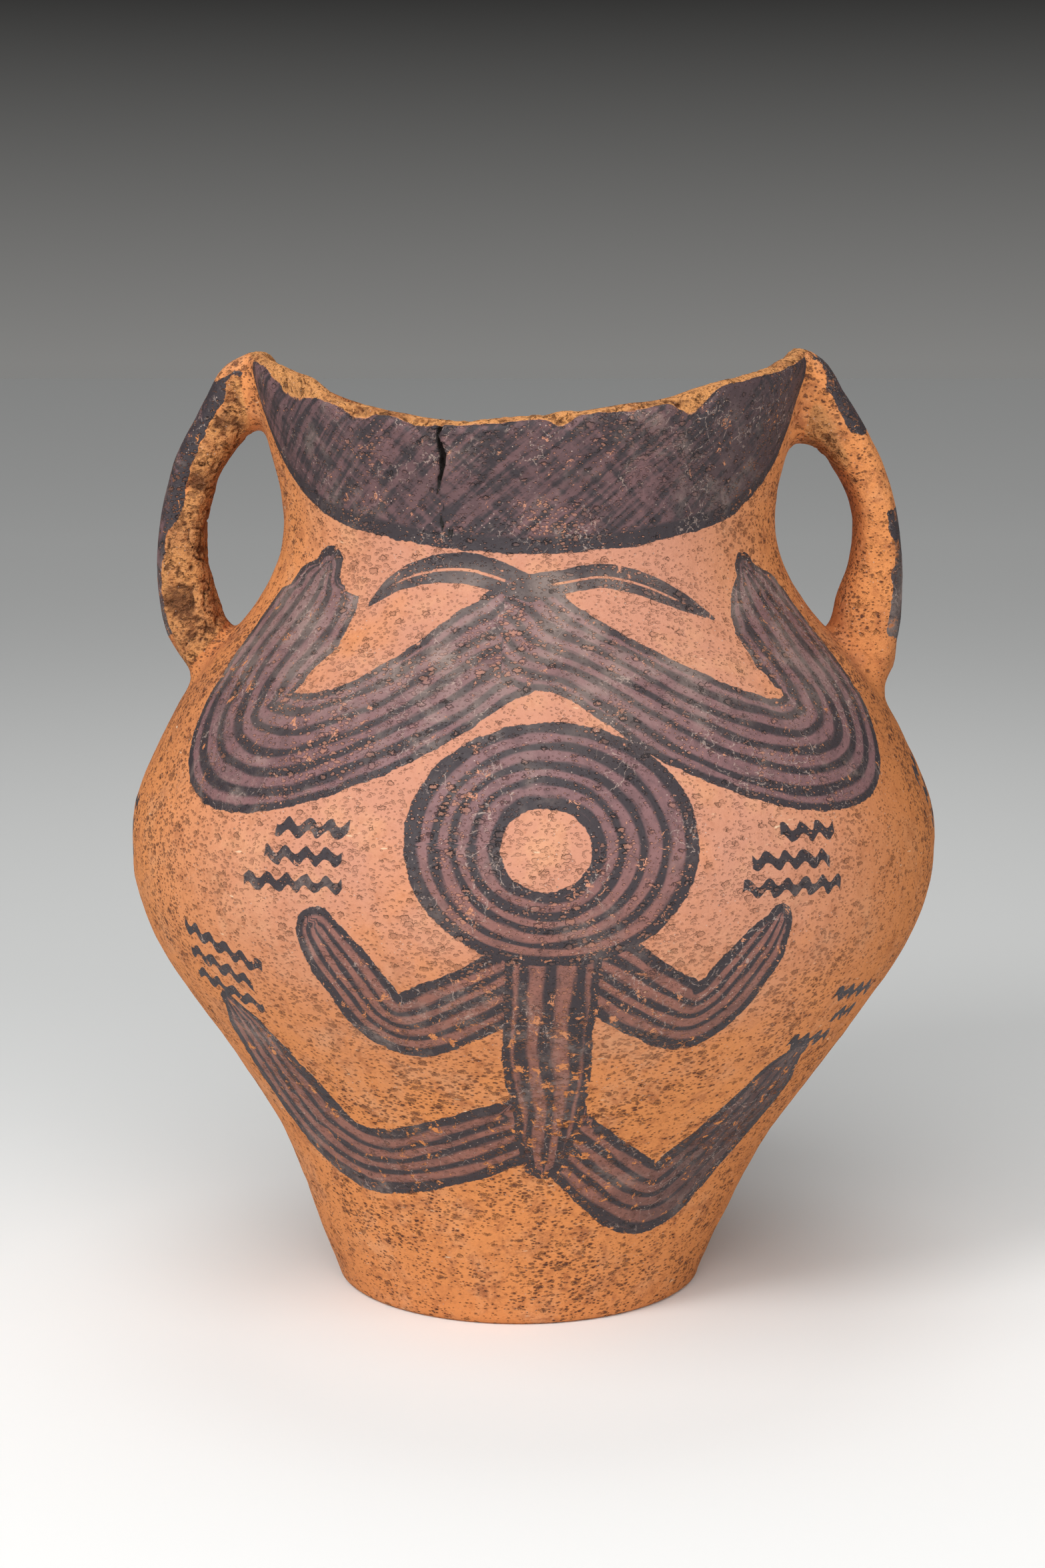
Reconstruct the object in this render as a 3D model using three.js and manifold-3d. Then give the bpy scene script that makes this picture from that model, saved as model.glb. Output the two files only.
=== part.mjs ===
// Hand-built pottery jar of the neolithic painted kind, in millimetres, +Z up.
// One fired piece: a hollow body on a flat foot and two strap handles from rim to shoulder.
// The origin is the centre of the foot's underside, and the painted front faces -Y.
import * as THREE from 'three';
import { mergeVertices } from 'three/addons/utils/BufferGeometryUtils.js';
import Module from 'manifold-3d';

// Body: radii of the outer face and the heights between them.
const FOOT_RADIUS = 57.5;
const BELLY_RADIUS = 125.8;
const NECK_RADIUS = 76.3;
const MOUTH_RADIUS = 86.5;
const FOOT_TO_BELLY = 140;
const BELLY_TO_NECK = 98;
const NECK_TO_PEAK = 55;

// Wall, floor and the hollow of the inside corner.
const WALL = 7.5;
const FLOOR = 10;
const FLOOR_CORNER = 12;
const FOOT_BEVEL = 1;

// The body was coiled by hand, so its axis wanders to the right above the foot.
const BELLY_LEAN = 4.5;
const MOUTH_LEAN = 2.8;

// Rim: how far it dips between the two peaks, and how far its worn outer edge drops.
const RIM_DIP = 20.5;
const EDGE_WEAR = 2.4;

// Strap handles: size of the strap and how far it stands out from its two roots.
const STRAP_WIDTH = 29;
const STRAP_THICKNESS = 14;
const STRAP_DROP = 87;
const STRAP_TOP_INSET = 12;
const ROOT_DEPTH = 4;
const LEFT_REACH = 28;
const RIGHT_REACH = 28.5;

// Fineness of the facets.
const COLUMNS = 72;
const STRAP_STEPS = 30;
const STRAP_SIDES = 12;

const BELLY_HEIGHT = FOOT_TO_BELLY;
const NECK_HEIGHT = BELLY_HEIGHT + BELLY_TO_NECK;
const PEAK_HEIGHT = NECK_HEIGHT + NECK_TO_PEAK;

// Outline of the three stretches, as shares of each stretch's height and change of radius.
const LOWER_SHAPE = [[0.16, 0.132], [0.36, 0.312], [0.57, 0.588], [0.77, 0.858], [0.9, 0.97]];
const UPPER_SHAPE = [[0.15, 0.025], [0.33, 0.175], [0.49, 0.35], [0.61, 0.53], [0.75, 0.785], [0.88, 0.94]];
const MOUTH_SHAPE = [[0.22, 0.05], [0.44, 0.32], [0.69, 0.66]];

// Rim line: degrees round from the front (right is positive) and share of the dip left over.
const RIM_LINE = [
  [-180, -0.27], [-150, -0.08], [-118, 0.5], [-90, 1], [-64, 0.74], [-53, 0.58], [-43, 0.3],
  [-27, 0.13], [-14, 0.01], [4, 0.1], [20, 0.24], [30, 0.33], [44, 0.56], [62, 0.75], [74, 0.9],
  [90, 1.04], [118, 0.5], [150, -0.06],
];

// Breaks in the rim: centre and half width in degrees, and drop of the outer edge and of the top
// as shares of the dip.
const RIM_BREAKS = [
  { at: -57, spread: 13, edge: 0.51, top: 0.02 },
  { at: -37, spread: 7, edge: 0.24, top: 0 },
  { at: -23, spread: 6, edge: 0.15, top: 0.015 },
  { at: 6.5, spread: 4, edge: 0.24, top: 0 },
  { at: 20, spread: 9, edge: 0.08, top: 0 },
  { at: 35, spread: 7, edge: 0.41, top: 0.03 },
  { at: 128, spread: 8, edge: 0.2, top: 0.07 },
  { at: 171, spread: 10, edge: 0.24, top: 0.05 },
  { at: -146, spread: 7, edge: 0.17, top: 0.06 },
];

// Strap centre line: share of the way down from the upper root, and share of the reach.
const LEFT_LINE = [
  [0, 0], [-0.01, 0.34], [0.02, 0.55], [0.125, 0.735], [0.257, 0.895], [0.377, 0.94], [0.5, 0.935],
  [0.63, 0.885], [0.75, 0.78], [0.86, 0.63], [0.95, 0.38], [1, 0],
];
const RIGHT_LINE = [
  [0, 0], [-0.015, 0.3], [0.005, 0.53], [0.135, 0.715], [0.263, 0.84], [0.389, 0.895], [0.51, 0.885],
  [0.63, 0.835], [0.75, 0.735], [0.86, 0.61], [0.96, 0.43], [1.03, 0],
];

// Half thickness outward and inward of the line and the width, as shares of the full ones, by
// share of the line's length: the roots are pressed out, and webs of clay fill the gap's ends.
const LEFT_OUTWARD = [
  [0, 1], [0.125, 1.68], [0.17, 1.3], [0.21, 1.12], [0.375, 1.03], [0.75, 1.08], [0.875, 0.98], [1, 1.5],
];
const LEFT_INWARD = [
  [0, 1.8], [0.125, 2], [0.25, 1.2], [0.5, 1.04], [0.625, 1.18], [0.75, 1.5], [1, 1.8],
];
const RIGHT_OUTWARD = [
  [0, 1], [0.09, 1.8], [0.125, 1.6], [0.155, 1.06], [0.2, 0.98], [0.375, 1.03], [0.6, 1.1], [0.75, 1.22],
  [0.87, 1.42], [1, 2.8],
];
const RIGHT_INWARD = [
  [0, 1.8], [0.1, 1.95], [0.16, 2.5], [0.2, 2.25], [0.26, 1.25], [0.38, 0.82], [0.5, 0.78],
  [0.625, 1.18], [0.75, 1.7], [1, 2.2],
];
const WIDTH_SWELL = [[0, 1.3], [0.17, 1.08], [0.33, 1], [0.5, 0.97], [0.67, 1], [0.83, 1.12], [1, 1.35]];

// The left strap's front edge is broken away by this much, in a ragged line.
const LEFT_EDGE_BREAK = 4.5;

const degrees = THREE.MathUtils.degToRad;
const { lerp, smoothstep } = THREE.MathUtils;

// A smooth curve through rising stations, looked up by its first value.
function lookup(stations) {
  const curve = new THREE.SplineCurve(stations.map(([key, value]) => new THREE.Vector2(key, value)));
  const samples = curve.getPoints(stations.length * 24);
  return (key) => {
    const next = samples.findIndex((point) => point.x >= key);
    if (next <= 0) return next === 0 ? samples[0].y : samples.at(-1).y;
    const [low, high] = [samples[next - 1], samples[next]];
    return lerp(low.y, high.y, (key - low.x) / Math.max(high.x - low.x, 1e-9));
  };
}

// Outer radius at a height.
function stretch(shape, lowHeight, highHeight, lowRadius, highRadius) {
  return shape.map(([up, out]) => [lerp(lowHeight, highHeight, up), lerp(lowRadius, highRadius, out)]);
}
const outerRadius = lookup([
  [0, FOOT_RADIUS],
  ...stretch(LOWER_SHAPE, 0, BELLY_HEIGHT, FOOT_RADIUS, BELLY_RADIUS),
  [BELLY_HEIGHT, BELLY_RADIUS],
  ...stretch(UPPER_SHAPE, BELLY_HEIGHT, NECK_HEIGHT, BELLY_RADIUS, NECK_RADIUS),
  [NECK_HEIGHT, NECK_RADIUS],
  ...stretch(MOUTH_SHAPE, NECK_HEIGHT, PEAK_HEIGHT, NECK_RADIUS, MOUTH_RADIUS),
  [PEAK_HEIGHT, MOUTH_RADIUS],
]);

// Inner radius at a height: the wall keeps its true thickness square to the sloping face.
const SLOPE_STEP = 2;
function innerRadius(height) {
  const rise = outerRadius(height + SLOPE_STEP) - outerRadius(Math.max(height - SLOPE_STEP, 0));
  const slope = rise / (2 * SLOPE_STEP);
  return outerRadius(height) - WALL * Math.hypot(1, slope);
}

// Sideways place of the body's axis at a height: the lean is done a good way below the belly.
const LEAN_DONE = 0.65;
function axisOffset(height) {
  const belly = BELLY_LEAN * smoothstep(height, 0, BELLY_HEIGHT * LEAN_DONE);
  return lerp(belly, MOUTH_LEAN, smoothstep(height, BELLY_HEIGHT, PEAK_HEIGHT));
}

// Height of the rim's top and of its worn outer edge, by degrees round from the front.
const FULL_TURN = 360;
const rimLineRound = [
  [RIM_LINE.at(-1)[0] - FULL_TURN, RIM_LINE.at(-1)[1]],
  ...RIM_LINE,
  ...RIM_LINE.slice(0, 2).map(([angle, share]) => [angle + FULL_TURN, share]),
];
const rimShare = lookup(rimLineRound);
function breakDepth(angle, part) {
  return RIM_BREAKS.reduce((sum, chip) => {
    const away = Math.abs(angle - chip.at) / chip.spread;
    return away < 1 ? sum + chip[part] * RIM_DIP * Math.cos(away * Math.PI / 2) ** 2 : sum;
  }, 0);
}
function rimTop(angle) {
  return PEAK_HEIGHT - RIM_DIP * (1 - rimShare(angle)) - breakDepth(angle, 'top');
}
function rimEdge(angle) {
  return rimTop(angle) - EDGE_WEAR - breakDepth(angle, 'edge');
}

// A point of the body at an angle from the front, a radius and a height.
function bodyPoint(angle, radius, height) {
  const turn = degrees(angle);
  return [axisOffset(height) + radius * Math.sin(turn), -radius * Math.cos(turn), height];
}

// One column of the body, from the foot's edge up the outside, over the rim and down the inside.
const LOWER_ROWS = 9;
const UPPER_ROWS = 10;
const MOUTH_ROWS = 3;
const INNER_LOWER_ROWS = 6;
const INNER_UPPER_ROWS = 7;
const CORNER_ROWS = 3;
function evenSteps(from, to, count) {
  return Array.from({ length: count }, (_, step) => lerp(from, to, (step + 1) / count));
}
function bodyColumn(angle) {
  const top = rimTop(angle);
  const edge = rimEdge(angle);
  const outerHeights = [
    FOOT_BEVEL,
    ...evenSteps(FOOT_BEVEL, BELLY_HEIGHT, LOWER_ROWS),
    ...evenSteps(BELLY_HEIGHT, NECK_HEIGHT, UPPER_ROWS),
    ...evenSteps(NECK_HEIGHT, edge, MOUTH_ROWS),
  ];
  const cornerTop = FLOOR + FLOOR_CORNER;
  const innerHeights = [
    ...evenSteps(top - EDGE_WEAR / 2, NECK_HEIGHT, MOUTH_ROWS),
    ...evenSteps(NECK_HEIGHT, BELLY_HEIGHT, INNER_UPPER_ROWS),
    ...evenSteps(BELLY_HEIGHT, cornerTop, INNER_LOWER_ROWS),
  ];
  const crest = outerRadius(top) - WALL * 0.5;
  const shoulder = lerp(outerRadius(edge), crest, 0.45);
  const corner = Array.from({ length: CORNER_ROWS }, (_, step) => {
    const turn = (step + 1) / CORNER_ROWS * Math.PI / 2;
    const inset = FLOOR_CORNER * (1 - Math.cos(turn));
    return [innerRadius(cornerTop) - inset, cornerTop - FLOOR_CORNER * Math.sin(turn)];
  });
  const rings = [
    [outerRadius(0) - FOOT_BEVEL, 0],
    ...outerHeights.map((height) => [outerRadius(height), height]),
    [shoulder, lerp(edge, top, 0.75)],
    [crest, top],
    [innerRadius(top - EDGE_WEAR / 2), top - EDGE_WEAR / 2],
    ...innerHeights.map((height) => [innerRadius(height), height]),
    ...corner,
  ];
  return rings.map(([radius, height]) => bodyPoint(angle, radius, height));
}

// A closed skin from columns of points: quads between them, and a fan over each end ring.
function skin(columnAt, firstCentre, lastCentre) {
  const columns = Array.from({ length: COLUMNS }, (_, turn) => columnAt((turn / COLUMNS - 0.5) * FULL_TURN));
  const rows = columns[0].length;
  const positions = columns.flat(2);
  const index = [];
  const at = (column, row) => (column % COLUMNS) * rows + row;
  for (let column = 0; column < COLUMNS; column += 1) {
    for (let row = 0; row < rows - 1; row += 1) {
      const [a, b] = [at(column, row), at(column + 1, row)];
      const [c, d] = [at(column + 1, row + 1), at(column, row + 1)];
      index.push(a, b, c, a, c, d);
    }
  }
  const first = positions.push(...firstCentre) / 3 - 1;
  const last = positions.push(...lastCentre) / 3 - 1;
  for (let column = 0; column < COLUMNS; column += 1) {
    index.push(first, at(column + 1, 0), at(column, 0));
    index.push(last, at(column, rows - 1), at(column + 1, rows - 1));
  }
  return indexed(positions, index);
}

function bodyGeometry() {
  return skin(bodyColumn, [0, 0, 0], [axisOffset(FLOOR), 0, FLOOR]);
}

// The hollow between the belly and open air above the rim, grown to half way through the wall.
function hollowGeometry() {
  const low = BELLY_HEIGHT;
  const high = PEAK_HEIGHT + STRAP_THICKNESS;
  const heights = [low, ...evenSteps(low, high, UPPER_ROWS + MOUTH_ROWS)];
  const radius = (height) => innerRadius(Math.min(height, PEAK_HEIGHT)) + WALL / 2;
  const column = (angle) => heights.map((height) => bodyPoint(angle, radius(height), height));
  return skin(column, [axisOffset(low), 0, low], [axisOffset(high), 0, high]);
}

function indexed(positions, index) {
  const geometry = new THREE.BufferGeometry();
  geometry.setAttribute('position', new THREE.Float32BufferAttribute(positions, 3));
  geometry.setIndex(index);
  return geometry;
}

// Centre line of a strap on one side (-1 left, 1 right), from within the rim to within the shoulder.
function strapCurve(side, line, reach) {
  const topHeight = PEAK_HEIGHT - STRAP_TOP_INSET;
  const footHeight = topHeight - STRAP_DROP;
  const inside = (height) => side * axisOffset(height) + innerRadius(height) - ROOT_DEPTH;
  const [topOut, footOut] = [inside(topHeight), inside(footHeight)];
  return new THREE.CatmullRomCurve3(line.map(([down, out]) => new THREE.Vector3(
    side * (lerp(topOut, footOut, down) + reach * out),
    0,
    lerp(topHeight, footHeight, down),
  )));
}

const wasm = await Module();
wasm.setup();
const { Manifold, Mesh } = wasm;

// A strap: rounded oblong sections square to its line, each hulled with the next, so the thick
// webs at the bends stay whole.
const CORNER_POWER = 0.62;
const SEAM_TOLERANCE = 0.001;
const widthShare = lookup(WIDTH_SWELL);
function strapSolid(side, { line, reach, outward, inward, edgeBreak }) {
  const curve = strapCurve(side, line, reach);
  const outwardShare = lookup(outward);
  const inwardShare = lookup(inward);
  const sections = Array.from({ length: STRAP_STEPS + 1 }, (_, step) => {
    const share = step / STRAP_STEPS;
    const centre = curve.getPointAt(share);
    const tangent = curve.getTangentAt(share);
    const away = new THREE.Vector3(-tangent.z, 0, tangent.x).multiplyScalar(side);
    const thickOut = STRAP_THICKNESS / 2 * outwardShare(share);
    const thickIn = STRAP_THICKNESS / 2 * inwardShare(share);
    const wide = STRAP_WIDTH / 2 * widthShare(share);
    const ragged = 0.75 + 0.25 * Math.sin(step * 2.3);
    const broken = edgeBreak * Math.sin(Math.PI * share) * ragged;
    return Array.from({ length: STRAP_SIDES }, (_, corner) => {
      const turn = corner / STRAP_SIDES * 2 * Math.PI;
      const across = Math.sign(Math.cos(turn)) * Math.abs(Math.cos(turn)) ** CORNER_POWER;
      const out = Math.sign(Math.sin(turn)) * Math.abs(Math.sin(turn)) ** CORNER_POWER;
      const sideways = across * wide + broken * Math.max(0, -across);
      const place = centre.clone().addScaledVector(away, out * (out > 0 ? thickOut : thickIn));
      return [place.x, sideways, place.z];
    });
  });
  const lengths = sections.slice(1).map((section, step) => Manifold.hull([...sections[step], ...section]));
  return Manifold.union(lengths).simplify(SEAM_TOLERANCE);
}

// The handles are luted on while the clay is wet, so the jar is one solid.
function solid(geometry) {
  const welded = mergeVertices(geometry, 1e-4);
  const mesh = new Mesh({
    numProp: 3,
    vertProperties: new Float32Array(welded.attributes.position.array),
    triVerts: new Uint32Array(welded.index.array),
  });
  return new Manifold(mesh);
}
function joined(solids) {
  const mesh = solids.reduce((whole, piece) => whole.add(piece)).getMesh();
  return indexed(Array.from(mesh.vertProperties), Array.from(mesh.triVerts));
}

const fired_clay = new THREE.MeshStandardMaterial({ color: 0xc98558, roughness: 0.88, metalness: 0 });
const hollow = solid(hollowGeometry());
const leftStrap = strapSolid(-1, {
  line: LEFT_LINE,
  reach: LEFT_REACH,
  outward: LEFT_OUTWARD,
  inward: LEFT_INWARD,
  edgeBreak: LEFT_EDGE_BREAK,
});
const rightStrap = strapSolid(1, {
  line: RIGHT_LINE,
  reach: RIGHT_REACH,
  outward: RIGHT_OUTWARD,
  inward: RIGHT_INWARD,
  edgeBreak: 0,
});
const geometry = joined([
  solid(bodyGeometry()),
  leftStrap.subtract(hollow),
  rightStrap.subtract(hollow),
]);
geometry.computeVertexNormals();

const jar = new THREE.Mesh(geometry, fired_clay);
jar.name = 'jar';

const model = new THREE.Group();
model.add(jar);
export default model;
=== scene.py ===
"""A neolithic painted pottery jar: one fired piece with two strap handles.

The visual mesh is built from the solid's own sizes, roughened and broken point by point, and painted
by shader from strokes that are stored on the mesh. Lengths are millimetres until the end.
"""
import math

import bmesh
import bpy
import numpy as np
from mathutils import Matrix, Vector


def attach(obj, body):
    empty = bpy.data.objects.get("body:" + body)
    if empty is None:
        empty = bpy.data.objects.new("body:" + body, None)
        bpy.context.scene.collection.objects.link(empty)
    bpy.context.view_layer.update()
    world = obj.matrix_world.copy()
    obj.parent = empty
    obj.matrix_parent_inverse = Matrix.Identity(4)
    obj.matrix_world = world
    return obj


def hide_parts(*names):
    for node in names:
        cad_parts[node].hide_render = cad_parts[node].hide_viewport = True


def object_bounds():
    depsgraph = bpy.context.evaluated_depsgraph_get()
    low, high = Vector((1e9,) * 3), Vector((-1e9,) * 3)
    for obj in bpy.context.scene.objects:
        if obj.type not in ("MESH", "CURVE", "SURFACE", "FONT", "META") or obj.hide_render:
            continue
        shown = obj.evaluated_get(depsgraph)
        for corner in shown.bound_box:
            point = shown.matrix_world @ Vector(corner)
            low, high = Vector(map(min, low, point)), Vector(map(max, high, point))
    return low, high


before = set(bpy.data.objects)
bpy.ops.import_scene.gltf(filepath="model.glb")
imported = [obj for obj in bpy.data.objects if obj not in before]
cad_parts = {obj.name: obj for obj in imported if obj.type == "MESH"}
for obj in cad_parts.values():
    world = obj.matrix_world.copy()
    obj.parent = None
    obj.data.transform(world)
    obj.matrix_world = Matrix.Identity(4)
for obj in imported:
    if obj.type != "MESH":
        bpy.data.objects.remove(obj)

CAD_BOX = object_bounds()
MM = 0.001

# The jar's sizes, as in the CAD model, in millimetres
FOOT_RADIUS, BELLY_RADIUS, NECK_RADIUS, MOUTH_RADIUS = 57.5, 125.8, 76.3, 86.5
BELLY_HEIGHT, NECK_HEIGHT, PEAK_HEIGHT = 140.0, 238.0, 293.0
WALL, FLOOR, FLOOR_CORNER, FOOT_BEVEL = 7.5, 10.0, 12.0, 1.0
BELLY_LEAN, MOUTH_LEAN, LEAN_DONE = 4.5, 2.8, 0.65
RIM_DIP, EDGE_WEAR = 20.5, 2.4
STRAP_WIDTH, STRAP_THICKNESS = 29.0, 14.0
STRAP_DROP, STRAP_TOP_INSET, ROOT_DEPTH = 87.0, 12.0, 4.0

LOWER_SHAPE = [(0.16, 0.132), (0.36, 0.312), (0.57, 0.588), (0.77, 0.858), (0.9, 0.97)]
UPPER_SHAPE = [(0.15, 0.025), (0.33, 0.175), (0.49, 0.35), (0.61, 0.53), (0.75, 0.785), (0.88, 0.94)]
MOUTH_SHAPE = [(0.22, 0.05), (0.44, 0.32), (0.69, 0.66)]
RIM_LINE = [
    (-180, -0.27), (-150, -0.08), (-118, 0.5), (-90, 1), (-64, 0.74), (-53, 0.58), (-43, 0.3),
    (-27, 0.13), (-14, 0.01), (4, 0.1), (20, 0.24), (30, 0.33), (44, 0.56), (62, 0.75), (74, 0.9),
    (90, 1.04), (118, 0.5), (150, -0.06),
]
# Centre and half width in degrees, drop of the outer edge and of the top as shares of the dip
RIM_BREAKS = [
    (-57, 13, 0.51, 0.02), (-37, 7, 0.24, 0), (-23, 6, 0.15, 0.015), (6.5, 4, 0.24, 0), (20, 9, 0.08, 0),
    (35, 7, 0.41, 0.03), (128, 8, 0.2, 0.07), (171, 10, 0.24, 0.05), (-146, 7, 0.17, 0.06),
]
# Centre line as (share down, share of the reach), and half thickness outward and inward of it as
# (share along, share of the full half thickness)
STRAPS = {
    -1: dict(reach=28.0, edge_break=4.5, line=[
        (0, 0), (-0.01, 0.34), (0.02, 0.55), (0.125, 0.735), (0.257, 0.895), (0.377, 0.94),
        (0.5, 0.935), (0.63, 0.885), (0.75, 0.78), (0.86, 0.63), (0.95, 0.38), (1, 0)],
        outward=[(0, 1), (0.125, 1.68), (0.17, 1.3), (0.21, 1.12), (0.375, 1.03), (0.75, 1.08),
                 (0.875, 0.98), (1, 1.5)],
        inward=[(0, 1.8), (0.125, 2), (0.25, 1.2), (0.5, 1.04), (0.625, 1.18), (0.75, 1.5), (1, 1.8)]),
    1: dict(reach=28.5, edge_break=0.0, line=[
        (0, 0), (-0.015, 0.3), (0.005, 0.53), (0.135, 0.715), (0.263, 0.84), (0.389, 0.895),
        (0.51, 0.885), (0.63, 0.835), (0.75, 0.735), (0.86, 0.61), (0.96, 0.43), (1.03, 0)],
        outward=[(0, 1), (0.09, 1.8), (0.125, 1.6), (0.155, 1.06), (0.2, 0.98), (0.375, 1.03),
                 (0.6, 1.1), (0.75, 1.22), (0.87, 1.42), (1, 2.8)],
        inward=[(0, 1.8), (0.1, 1.95), (0.16, 2.5), (0.2, 2.25), (0.26, 1.25), (0.38, 0.82),
                (0.5, 0.78), (0.625, 1.18), (0.75, 1.7), (1, 2.2)]),
}
WIDTH_SWELL = [(0, 1.3), (0.17, 1.08), (0.33, 1), (0.5, 0.97), (0.67, 1), (0.83, 1.12), (1, 1.35)]


# Smooth curves through stations
def catmull_rom(points, per_span=24):
    points = np.asarray(points, float)
    padded = np.vstack([points[:1], points, points[-1:]])
    t = np.linspace(0, 1, per_span, endpoint=False)[:, None]
    spans = []
    for before, start, end, after in zip(padded, padded[1:], padded[2:], padded[3:]):
        leave, arrive = (end - before) / 2, (after - start) / 2
        spans.append((2 * start - 2 * end + leave + arrive) * t ** 3
                     + (3 * end - 3 * start - 2 * leave - arrive) * t ** 2 + leave * t + start)
    return np.vstack(spans + [points[-1:]])


def lookup(stations):
    samples = catmull_rom(stations)
    return lambda key: np.interp(key, samples[:, 0], samples[:, 1])


def stretch(shape, low, high, low_radius, high_radius):
    return [(low + (high - low) * up, low_radius + (high_radius - low_radius) * out) for up, out in shape]


outer_radius = lookup(
    [(0, FOOT_RADIUS)] + stretch(LOWER_SHAPE, 0, BELLY_HEIGHT, FOOT_RADIUS, BELLY_RADIUS)
    + [(BELLY_HEIGHT, BELLY_RADIUS)]
    + stretch(UPPER_SHAPE, BELLY_HEIGHT, NECK_HEIGHT, BELLY_RADIUS, NECK_RADIUS)
    + [(NECK_HEIGHT, NECK_RADIUS)]
    + stretch(MOUTH_SHAPE, NECK_HEIGHT, PEAK_HEIGHT, NECK_RADIUS, MOUTH_RADIUS)
    + [(PEAK_HEIGHT, MOUTH_RADIUS)])
rim_share = lookup([(RIM_LINE[-1][0] - 360, RIM_LINE[-1][1])] + RIM_LINE
                   + [(a + 360, s) for a, s in RIM_LINE[:2]])


def inner_radius(height):
    step = 2.0
    slope = (outer_radius(height + step) - outer_radius(np.maximum(height - step, 0))) / (2 * step)
    return outer_radius(height) - WALL * np.hypot(1, slope)


def half_turn(angle):
    """The same angle between -180 and 180 degrees."""
    return np.mod(angle + 180, 360) - 180


def smoothstep(value, low, high):
    t = np.clip((value - low) / (high - low), 0, 1)
    return t * t * (3 - 2 * t)


def axis_offset(height):
    belly = BELLY_LEAN * smoothstep(height, 0, BELLY_HEIGHT * LEAN_DONE)
    return belly + (MOUTH_LEAN - belly) * smoothstep(height, BELLY_HEIGHT, PEAK_HEIGHT)


def break_depth(angle, part):
    total = np.zeros_like(angle)
    for chip in RIM_BREAKS:
        away = np.minimum(np.abs(angle - chip[0]) / chip[1], 1)
        total += chip[part] * RIM_DIP * np.cos(away * np.pi / 2) ** 2
    return total


# Seeded value noise over points in millimetres
def lattice(cells, seed):
    mixed = (cells[..., 0] * 374761393 + cells[..., 1] * 668265263 + cells[..., 2] * 2147483647
             + seed * 1274126177) & 0xFFFFFFFF
    mixed = ((mixed ^ (mixed >> 13)) * 1274126177) & 0xFFFFFFFF
    return ((mixed ^ (mixed >> 16)) & 0xFFFF) / 32767.5 - 1


def noise(points, size, seed=0, octaves=1):
    total, weight, norm = 0, 1.0, 0
    for octave in range(octaves):
        place = points / (size / 2 ** octave) + 31.7 * octave + 500
        base = np.floor(place).astype(np.int64)
        part = place - base
        part = part * part * (3 - 2 * part)
        value = 0
        for corner in range(8):
            bits = np.array([corner & 1, corner >> 1 & 1, corner >> 2 & 1])
            share = np.prod(np.where(bits, part, 1 - part), axis=-1)
            value = value + share * lattice(base + bits, seed + octave)
        total, norm, weight = total + weight * value, norm + weight, weight * 0.5
    return total / norm


# The body's skin: fine columns at the painted front and at the crack, coarser behind
CRACK_ANGLE = -18.6
def column_angles():
    def step(angle):
        if abs(angle - CRACK_ANGLE) < 3:
            return 0.36
        return 0.85 if abs(angle) < 84 else 1.2 if abs(angle) < 100 else 1.8
    angles = [-180.0]
    while angles[-1] < 180:
        angles.append(angles[-1] + step(angles[-1]))
    angles = np.array(angles)
    return (-180 + (angles + 180) * 360 / (angles[-1] + 180))[:-1]


def even_path(heights, radius_of, spacing):
    """Heights at even steps along the profile between the first and last of heights."""
    fine = np.linspace(heights[0], heights[1], 600)
    length = np.concatenate([[0], np.cumsum(np.hypot(np.diff(fine), np.diff(radius_of(fine))))])
    count = max(2, int(round(length[-1] / spacing)))
    return np.interp(np.linspace(0, length[-1], count + 1), length, fine)


OUTER_STEP, INNER_STEP, RIM_ROWS = 1.8, 12.0, 14
LEVEL_ROWS_END, RIM_ROW_SHARE = 250.0, 0.85


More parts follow.
